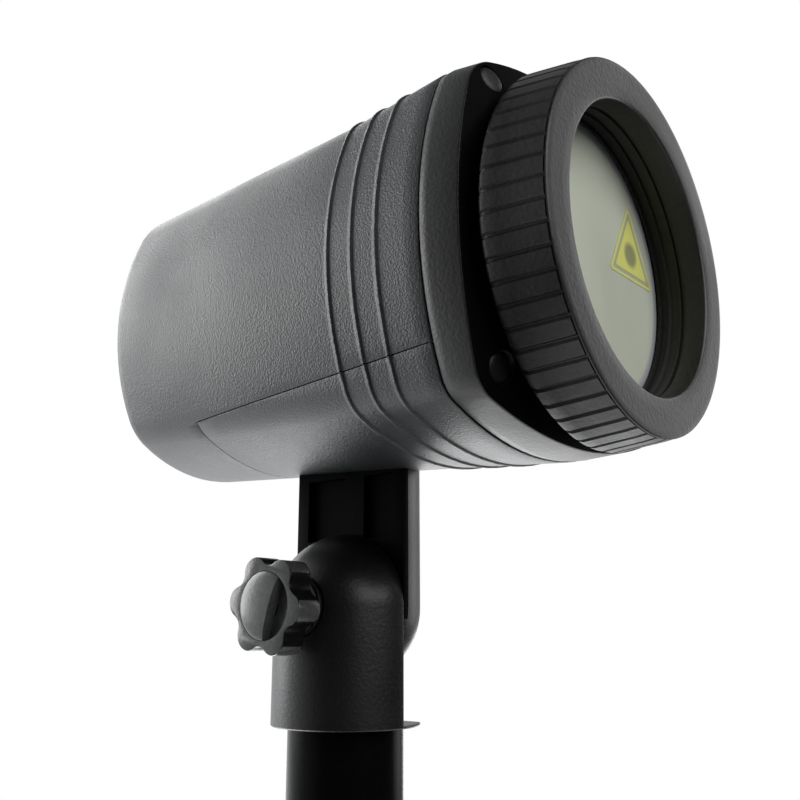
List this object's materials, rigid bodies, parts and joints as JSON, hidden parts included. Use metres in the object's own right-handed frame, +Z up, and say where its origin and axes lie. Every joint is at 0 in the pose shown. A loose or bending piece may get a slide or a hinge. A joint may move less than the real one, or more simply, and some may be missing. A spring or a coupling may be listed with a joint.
{
  "type": "light projector stake",
  "caption": "Outdoor light projector: a barrel lamp head with a knurled lens ring, tilting on a half-lap hinge with a star knob, on a round post with a ground spike.",
  "frame": {"origin": "the stake's centre line at the soil line, on the underside of the round stop plate", "axes": "+Z up along the post; the lamp looks along -Y; the hinge bolt lies along X with its star knob on the -X side"},
  "size_m": [0.101, 0.1909, 0.5212],
  "materials": {
    "shell_plastic": "fine-grained matte moulding, dark grey",
    "black_plastic": "satin black moulding",
    "knob_plastic": "satin dark grey moulding",
    "grating_plastic": "clear embossed film disc",
    "rubber": "soft black rubber",
    "hazy_glass": "hazy grey-green glass",
    "label_film": "printed yellow film",
    "steel": "zinc-plated steel",
    "black_steel": "black-coated steel",
    "brass": "turned brass",
    "aluminium": "bare aluminium",
    "circuit_board": "green circuit board with components"
  },
  "bodies": {
    "stake": {"post_upper": "black_plastic", "post_lower": "black_plastic", "ground_spike": "black_plastic"},
    "fitting": {"stake_head": "black_plastic"},
    "lamp": {"main_shell": "shell_plastic", "bottom_cover": "shell_plastic", "front_frame": "black_plastic", "frame_screw_1": "black_steel", "frame_screw_2": "black_steel", "frame_screw_3": "black_steel", "frame_screw_4": "black_steel", "cable_gland": "rubber", "gland_nut": "black_plastic", "laser_bracket": "aluminium", "laser_module_red": "brass", "laser_module_green": "brass", "heat_sink": "aluminium", "grating_motor": "steel", "driver_board": "circuit_board", "board_screw_1": "steel", "board_screw_2": "steel", "board_screw_3": "steel", "board_screw_4": "steel", "hinge_bolt": "steel"},
    "wheel": {"grating_wheel": "grating_plastic"},
    "glazing": {"lens_seal": "rubber", "lens_glass": "hazy_glass", "lens_label": "label_film"},
    "ring": {"retaining_ring": "black_plastic"},
    "washer": {"knob_washer": "black_steel"},
    "knob": {"star_knob": "knob_plastic", "knob_cap": "knob_plastic"}
  },
  "joints": [
    {"name": "head_swivel", "type": "hinge", "parent": "stake", "child": "fitting", "pos_m": [0, 0, 0.203], "axis": [0, 0, 1], "range_deg": [-180, 180]},
    {"name": "head_tilt", "type": "hinge", "parent": "fitting", "child": "lamp", "pos_m": [0, 0, 0.235], "axis": [-1, 0, 0], "range_deg": [-90, 90]},
    {"name": "grating_spin", "type": "hinge", "parent": "lamp", "child": "wheel", "pos_m": [0, -0.066, 0.3062], "axis": [0, -1, 0], "continuous": true},
    {"name": "ring_slide", "type": "slide", "parent": "lamp", "child": "glazing", "axis": [0, -1, 0], "range_m": [0, 0.00602]},
    {"name": "ring_turn", "type": "hinge", "parent": "glazing", "child": "ring", "pos_m": [0, -0.09, 0.3202], "axis": [0, -1, 0], "range_deg": [0, 720]},
    {"name": "knob_slide", "type": "slide", "parent": "fitting", "child": "washer", "axis": [-1, 0, 0], "range_m": [0, 0.002]},
    {"name": "knob_turn", "type": "hinge", "parent": "washer", "child": "knob", "pos_m": [-0.028, 0, 0.235], "axis": [-1, 0, 0], "range_deg": [0, 721]}
  ],
  "couplings": [
    {"joint": "ring_slide", "follows": "ring_turn", "m_per_rad": 0.00047746},
    {"joint": "knob_turn", "follows": "knob_slide", "rad_per_m": 6283.2}
  ]
}
